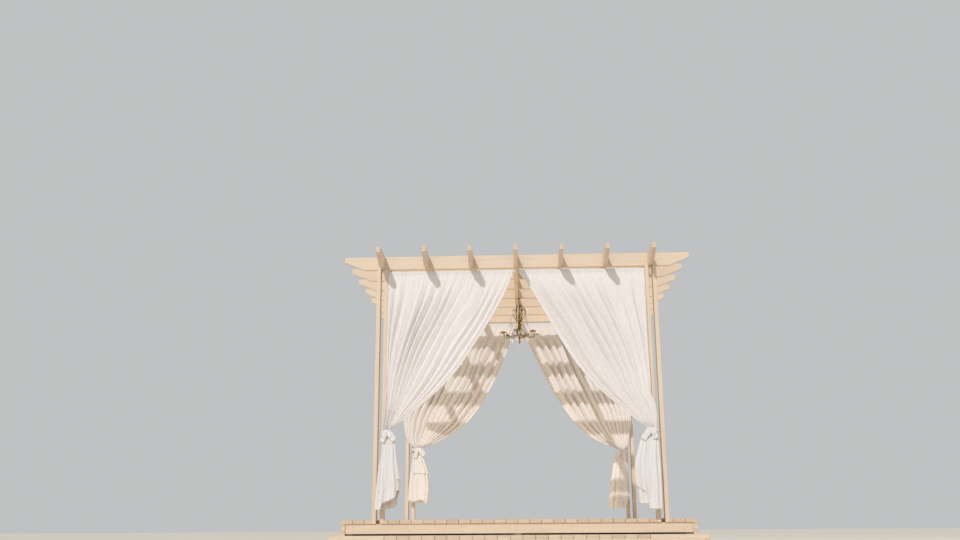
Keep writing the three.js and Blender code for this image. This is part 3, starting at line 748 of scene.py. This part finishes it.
def add_tube(shape, path, radius, sides=10, closed=False):
    """A round bar along a path; radius may change from point to point."""
    path = [Vector(p) for p in path]
    count = len(path)
    radii = [radius] * count if isinstance(radius, float) else radius
    rows = []
    up = None
    for k, point in enumerate(path):
        before = path[k - 1] if k or closed else point
        after = path[(k + 1) % count] if k < count - 1 or closed else point
        tangent = (after - before).normalized()
        if up is None:
            up = tangent.orthogonal().normalized()
        up = (up - tangent * up.dot(tangent)).normalized()
        side = tangent.cross(up)
        rows.append([
            point + radii[k] * (math.cos(turn) * up + math.sin(turn) * side) for turn in even_turns(sides)])
    if closed:
        rows.append(rows[0])
    shape.grid(rows, close=True, caps=not closed)


def add_turned(shape, profile, centre, segments):
    """A lathe-turned body, from the lowest point of its profile to the highest."""
    shape.grid([
        [(centre[0] + radius * math.cos(turn), centre[1] + radius * math.sin(turn), centre[2] + height)
         for turn in even_turns(segments)] for radius, height in profile], close=True, caps=True)


def rounded(profile, steps=4):
    """A turning profile with smooth swells between its points."""
    path = smooth_path([(r, h, 0) for r, h in profile], steps)
    return [(max(p[0], 0.0005), p[1]) for p in path]


def add_leaf(shape, spine, width):
    """A cast leaf along a spine: broad near its middle, pointed at its tip, veined and hollow-backed."""
    spine = [Vector(p) for p in spine]
    count = len(spine)
    rows = []
    for k, point in enumerate(spine):
        share = k / (count - 1)
        tangent = (spine[min(k + 1, count - 1)] - spine[max(k - 1, 0)]).normalized()
        radial = Vector((point.x - HOOK_X, point.y - MIDDLE, 0)).normalized()
        side = tangent.cross(radial).normalized()
        face = side.cross(tangent).normalized()
        half = width / 2 * math.sin(math.pi * min(0.97, 0.12 + 0.88 * share)) ** 0.8
        half *= 1 + 0.18 * math.sin(5 * math.pi * share)
        upper = [
            point + side * half * s + face * (0.25 * half * s * s - 0.0010 * (1 - abs(s)))
            for s in (-1, -0.6, -0.2, 0, 0.2, 0.6, 1)
        ]
        rows.append(upper + [p - face * LEAF_THICK for p in upper[::-1]])
    shape.grid(rows, close=True, caps=True)


def add_bead(shape, centre, radius):
    """A faceted bead: flat rings of a cut ball, the widest one turned by half a facet."""
    rows = []
    for tilt in (8, 45, 90, 135, 172):
        angle = math.radians(tilt)
        turns = [2 * math.pi * (k + 0.5 * (tilt == 90)) / FACETS for k in range(FACETS)]
        rows.append([(
            centre[0] + radius * math.sin(angle) * math.cos(turn),
            centre[1] + radius * math.sin(angle) * math.sin(turn),
            centre[2] - radius * math.cos(angle)) for turn in turns])
    shape.grid(rows, close=True, caps=True)


def add_drop(shape, top, size, turn):
    """A flat-cut almond drop of a length and width, 4 mm under its pin."""
    length, width = size
    rows = []
    for share, down in ((0.05, 1.0), (0.22, 0.95), (0.75, 0.72), (1.0, 0.48), (0.55, 0.22), (0.04, 0.0)):
        row = []
        for angle in even_turns(FACETS):
            a, b = share * width / 2 * math.cos(angle), share * width / 5 * math.sin(angle)
            row.append((
                top[0] + a * math.cos(turn) - b * math.sin(turn),
                top[1] + a * math.sin(turn) + b * math.cos(turn),
                top[2] - 0.004 - (length - 0.004) * down))
        rows.append(row)
    shape.grid(rows, close=True, caps=True)


def string_of_beads(shape, pins, beads):
    """Beads on a thread that runs in one curve through the pins."""
    spacing, radius = beads
    path = np.array(smooth_path(pins, 24))
    run = np.concatenate([[0], np.cumsum(np.linalg.norm(np.diff(path, axis=0), axis=1))])
    for at in np.arange(0, run[-1], spacing):
        add_bead(shape, [np.interp(at, run, path[:, axis]) for axis in range(3)], radius)


def hang_chain():
    shape = Shape()
    plate = [
        (0.001, -0.010), (0.005, -0.010), (0.007, -0.0085), (0.010, -0.0075), (0.013, -0.0050),
        (0.0165, -0.0045), (0.018, -0.0030), (0.018, -0.0004)]
    add_turned(shape, plate, (HOOK_X, MIDDLE, LATTICE_UNDER), 40)
    add_tube(shape, [(HOOK_X, MIDDLE, LATTICE_UNDER - drop) for drop in (0.010, 0.020)], 0.0028)
    top = LATTICE_UNDER - 0.016
    for k in range(LINKS):
        loop = []
        for turn in even_turns(20):
            a, b = LINK_HALF[0] * math.cos(turn), LINK_HALF[1] * math.sin(turn)
            z = top - LINK_HALF[1] - LINK_PITCH * k + b
            loop.append((HOOK_X + a, MIDDLE, z) if k % 2 else (HOOK_X, MIDDLE + a, z))
        add_tube(shape, loop, LINK_WIRE, 8, closed=True)
    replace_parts(shape.piece("chandelier_links", brass, "aged_brass"), "chandelier_chain")


def cast_stem():
    shape = Shape()
    profile = rounded([
        (0.001, FINIAL), (0.007, FINIAL + 0.003), (0.0055, FINIAL + 0.009), (0.0095, FINIAL + 0.016),
        (0.0105, FINIAL + 0.024), (0.0075, HUB - 0.066), (0.0085, HUB - 0.052), (0.0130, HUB - 0.038),
        (0.0185, HUB - 0.022), (0.0215, HUB - 0.010), (0.0235, HUB), (0.021, HUB + 0.008),
        (0.016, HUB + 0.014), (0.018, HUB + 0.019), (0.012, HUB + 0.028), (0.0120, HUB + 0.044),
        (0.0140, CAGE_FOOT - 0.072), (0.0190, CAGE_FOOT - 0.054), (0.0245, CAGE_FOOT - 0.034),
        (0.0260, CAGE_FOOT - 0.022), (0.0235, CAGE_FOOT - 0.011), (0.0135, CAGE_FOOT - 0.004),
        (0.0100, CAGE_FOOT + 0.001), (0.0070, CAGE_FOOT + 0.012), (0.0095, CAGE_FOOT + 0.020),
        (0.0065, CAGE_FOOT + 0.030), (0.0080, CAGE_FOOT + 0.050), (0.0165, CROWN - 0.140),
        (0.0195, CROWN - 0.118), (0.0130, CROWN - 0.098), (0.0065, CROWN - 0.084), (0.0065, CROWN - 0.060),
        (0.012, CROWN - 0.042), (0.015, CROWN - 0.030), (0.009, CROWN - 0.018), (0.006, CROWN - 0.010),
        (0.007, CROWN - 0.005), (0.001, CROWN - 0.001),
    ])
    add_turned(shape, profile, (HOOK_X, MIDDLE, 0), 32)
    # a lyre rib: out from the crown, wide at the shoulder and in to the foot, with a curl inside its shoulder
    rib = [
        (0.012, CROWN - 0.032), (0.020, CROWN - 0.020), (0.038, CROWN - 0.022), (0.058, CROWN - 0.040),
        (0.073, CROWN - 0.068), (0.0765, CROWN - 0.098), (0.070, CROWN - 0.126), (0.055, CROWN - 0.155),
        (0.038, CROWN - 0.180), (0.020, CROWN - 0.203), (0.007, CAGE_FOOT + 0.004)]
    curl = [
        (0.056 - 0.013 * (1 - s / 11) * math.cos(0.5 * s),
         CROWN - 0.062 - 0.013 * (1 - s / 11) * math.sin(0.5 * s)) for s in range(9)]
    # crown leaves that curl out at the top, and leaves that hang round the stem between cage and hub
    crown_leaf = [
        (0.006, CROWN - 0.040), (0.010, CROWN - 0.026), (0.016, CROWN - 0.013), (0.024, CROWN - 0.004),
        (0.031, CROWN - 0.003), (0.034, CROWN - 0.010)]
    low_leaf = [
        (0.012, CAGE_FOOT - 0.062), (0.020, CAGE_FOOT - 0.066), (0.029, CAGE_FOOT - 0.077),
        (0.034, CAGE_FOOT - 0.092), (0.033, CAGE_FOOT - 0.106)]
    for turn in even_turns(ARMS):
        path = bent(rib, turn, 5)
        add_tube(shape, path, [0.0030 + 0.0022 * (k / (len(path) - 1)) ** 1.5 for k in range(len(path))], 8)
        path = bent(curl, turn, 3, start=[(0.0725, CROWN - 0.070)])
        add_tube(shape, path, [0.0030 - 0.0012 * k / len(path) for k in range(len(path))], 7)
        add_leaf(shape, bent(crown_leaf, turn + 0.5, 3), 0.015)
        add_leaf(shape, bent(low_leaf, turn + 0.5, 3), 0.017)
    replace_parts(shape.piece("chandelier_stem_cast", brass, "aged_brass"), "chandelier_stem")


def cast_arms():
    shape = Shape()
    collar = rounded([
        (0.0243, HUB - 0.010), (0.029, HUB - 0.0095), (0.030, HUB - 0.004), (0.0275, HUB),
        (0.030, HUB + 0.004), (0.029, HUB + 0.0095), (0.0243, HUB + 0.010)], 3)
    add_turned(shape, collar, (HOOK_X, MIDDLE, 0), 36)
    sweep = [
        (0.026, HUB), (0.045, HUB - 0.010), (0.070, HUB - 0.018), (0.100, HUB - 0.022), (0.132, HUB - 0.021),
        (0.162, HUB - 0.019), (0.182, HUB - 0.012), (0.197, CUP - 0.0165), (ARM_REACH, CUP - 0.013)]
    scroll = []
    for s in range(15):
        angle, size = 0.45 * s + 0.4, 0.0175 * (1 - s / 19)
        scroll.append((0.078 + size * math.sin(angle), HUB + 0.006 + size * math.cos(angle)))
    leaf = [
        (0.120, HUB - 0.019), (0.135, HUB - 0.012), (0.150, HUB - 0.002), (0.160, HUB + 0.009),
        (0.163, HUB + 0.018), (0.157, HUB + 0.023)]
    # the pan with its socket, as heights from the cup
    pan = rounded([
        (0.001, -0.0136), (0.006, -0.0130), (0.012, -0.0104), (0.022, -0.0066), (0.031, -0.0034),
        (0.0374, 0.0010), (0.0380, 0.0040), (0.0368, 0.0042), (0.033, 0.0008), (0.024, -0.0026),
        (0.0110, -0.0036), (0.0080, 0.0010), (0.0074, 0.0080), (0.0084, 0.0130), (0.0080, 0.0150),
        (0.0060, 0.0152), (0.0056, 0.0110), (0.0010, 0.0105)], 2)
    for turn in even_turns(ARMS, ARM_TURN):
        path = bent(sweep, turn, 4)
        add_tube(shape, path, [0.0052 - 0.0014 * k / len(path) for k in range(len(path))])
        add_tube(shape, bent(scroll, turn, 3, start=[(0.100, HUB - 0.020)]), 0.0024, 8)
        add_leaf(shape, bent(leaf, turn, 3), 0.018)
        add_turned(shape, pan, round_hook(ARM_REACH, turn, CUP), 36)
    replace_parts(shape.piece("chandelier_arms_cast", brass, "aged_brass"), "chandelier_arms")


def hang_crystal():
    shape = Shape()
    ball = []
    for k in range(9):
        angle = math.pi * k / 8
        ball.append((max(0.0006, 0.0150 * math.sin(angle)), FINIAL - 0.0225 - 0.0150 * math.cos(angle)))
    ball += [(0.0030, FINIAL - 0.0050), (0.0024, FINIAL - 0.0006)]
    add_turned(shape, ball, (HOOK_X, MIDDLE, 0), 12)
    for turn in even_turns(ARMS, ARM_TURN):
        # a garland from the crown, out over the cage and down to each pan
        garland = [round_hook(reach, turn, height) for reach, height in (
            (0.034, CROWN - 0.012), (0.074, CROWN - 0.082), (0.090, CROWN - 0.150),
            (CAGE_DROP_REACH, CAGE_FOOT + 0.006), (0.132, CUP + 0.060), (ARM_REACH - 0.030, CUP + 0.0095))]
        string_of_beads(shape, garland, GARLAND_BEADS)
        add_drop(shape, round_hook(CAGE_DROP_REACH, turn, CAGE_FOOT), CAGE_DROP, turn)
        # beads and drops round the rim of each pan, and one under the arm
        x, y, z = round_hook(ARM_REACH, turn, CUP + 0.0006)
        for rim in even_turns(6, turn):
            top = (x + PAN_RIM * math.cos(rim), y + PAN_RIM * math.sin(rim))
            add_bead(shape, (*top, z - 0.0045), 0.0038)
            add_drop(shape, (*top, z - 0.007), PAN_DROP, rim)
        add_bead(shape, round_hook(ARM_DROP_REACH, turn, HUB - 0.032), 0.0042)
        add_drop(shape, round_hook(ARM_DROP_REACH, turn, HUB - 0.035), ARM_DROP, turn)
        # a swag of beads from this arm's foot to the next one's, with a drop at its lowest
        between = turn + math.pi / ARMS
        pins = [
            round_hook(0.030, turn, HUB - 0.006), round_hook(SWAG_DROP_REACH, between, HUB - 0.030),
            round_hook(0.030, turn + 2 * math.pi / ARMS, HUB - 0.006)]
        string_of_beads(shape, pins, SWAG_BEADS)
        add_drop(shape, round_hook(SWAG_DROP_REACH, between, HUB - 0.034), SWAG_DROP, between)
    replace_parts(shape.piece("crystal_drops", crystal, "cut_crystal", smooth=False), "chandelier_crystal")


hang_chain()
cast_stem()
cast_arms()
hang_crystal()


# Screws: two through every plank at each joist, and some along the deck's front skirt

JOIST_INSET = 0.0303       # from a skirt's inner face to the middle of the first joist
SCREW_EDGES = (0.024, 0.089)                               # across a plank
SCREW_RADIUS, SKIRT_SCREW_RADIUS, SCREW_PROUD = 0.0042, 0.0035, 0.0006
POST_CLEAR = (0.068, 0.052)                                # no screw is so near a post's middle


def add_screw(shape, centre, facing, radius):
    """A countersunk head with a round recess, its face towards facing."""
    facing = Vector(facing)
    up = facing.orthogonal().normalized()
    side = facing.cross(up)
    shape.grid([
        [Vector(centre) + facing * lift + radius * share * (math.cos(turn) * up + math.sin(turn) * side)
         for turn in even_turns(12)]
        for share, lift in (
            (1.0, -0.0008), (1.0, 0.0), (0.88, SCREW_PROUD), (0.30, SCREW_PROUD * 0.9), (0.22, -0.0002),
            (0.02, -0.0002))
    ], close=True, caps=True)


def drive_screws():
    shape = Shape()
    wobble = random.Random(5)
    for low, high, middle, joists in (
            (DECK_LOW, DECK_HIGH, MIDDLE, (-1, -0.5, 0, 0.5, 1)),
            (STEP_LOW, STEP_HIGH, (STEP_HIGH[1] + STEP_LOW[1]) / 2, (-1, 0))):
        reach = (high[1] - low[1]) / 2 - SKIRT_THICK - JOIST_INSET
        for k in range(round((high[0] - low[0] + PLANK_GAP) / PLANK_PITCH)):
            left = low[0] + k * PLANK_PITCH
            for y in [middle + joist * reach for joist in joists]:
                for edge in SCREW_EDGES:
                    x = left + edge + wobble.uniform(-0.002, 0.002)
                    spot = (x, y + wobble.uniform(-0.003, 0.003), high[2])
                    beside, before = abs(abs(x) - POST_PLACE), abs(abs(y - MIDDLE) - POST_PLACE)
                    if beside >= POST_CLEAR[0] or before >= POST_CLEAR[1]:
                        add_screw(shape, spot, (0, 0, 1), SCREW_RADIUS)
    low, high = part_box("deck_skirt_front")
    for x in np.arange(low[0] + 0.08, high[0], 0.54):
        for z in (low[2] + 0.025, high[2] - 0.025):
            add_screw(shape, (x + wobble.uniform(-0.01, 0.01), low[1], z), (0, -1, 0), SKIRT_SCREW_RADIUS)
    shape.piece("deck_screws", screw_zinc, "plank_paint", smooth=False)


drive_screws()


# The studio: a plain pale floor, a soft dome and one key from the front, high and a little to the left

def pale_floor_paint():
    """Matt floor paint, rolled: very pale, in faint broad clouds."""
    m, place = new_material("studio_floor_paint")
    cloud = add(m, "TexNoise", {"Scale": 0.6, "Detail": 2}, {"Vector": place})
    colour = add(m, "Mix", {"data_type": "RGBA", 6: rgb("#dcd6ca"), 7: rgb("#d5cec1")}, {0: cloud})
    return finish_with(m, add(m, "BsdfPrincipled", {"Roughness": 0.85}, {"Base Color": colour.outputs[2]}))


def hang_lamp(name, kind, power, tint, way, spot=(0, 0, 0)):
    light = bpy.data.lights.new(name, kind)
    light.energy = power
    light.color = tint
    lamp = put_in_scene(name, light)
    lamp.location = spot
    lamp.rotation_euler = way.to_track_quat("-Z", "Y").to_euler()
    return lamp


def set_studio():
    floor = Shape()
    floor.grid([[(-60, -40, -0.001), (60, -40, -0.001)], [(-60, 90, -0.001), (60, 90, -0.001)]])
    put_in_scene("studio_floor", floor.mesh("studio_floor", pale_floor_paint()))

    key = hang_lamp("key", "SUN", 1.9, (0.985, 0.992, 1.0), Vector((0.35, 1.0, -0.83)))
    key.data.angle = math.radians(0.7)

    # a soft box in front, and warm boards at both sides and under the canopy that lift the shaded timber
    middle = (0, MIDDLE, 1.6)
    warm = (1.0, 0.72, 0.31)
    for name, spot, aim, size, power, tint in (
            ("front_box", (0, -13, 6), middle, 8, 90, (0.97, 0.98, 1.0)),
            ("left_board", (-12, MIDDLE, 5.2), middle, 8, 210, warm),
            ("right_board", (12, MIDDLE, 5.2), middle, 8, 210, warm),
            ("low_board", (0, MIDDLE, DECK_TOP + 0.06), (0, MIDDLE, 9), 2.4, 18, (1.0, 0.71, 0.36))):
        board = hang_lamp(name, "AREA", power, tint, Vector(aim) - Vector(spot), spot)
        board.data.shape = "SQUARE"
        board.data.size = size
        board.visible_camera = False

    world = bpy.data.worlds.new("studio_dome")
    world.use_nodes = True
    dome = world.node_tree.nodes["Background"]
    dome.inputs["Color"].default_value = rgb("#c9cacb")
    dome.inputs["Strength"].default_value = 0.90
    bpy.context.scene.world = world
    bpy.context.scene.view_settings.view_transform = "Standard"


set_studio()
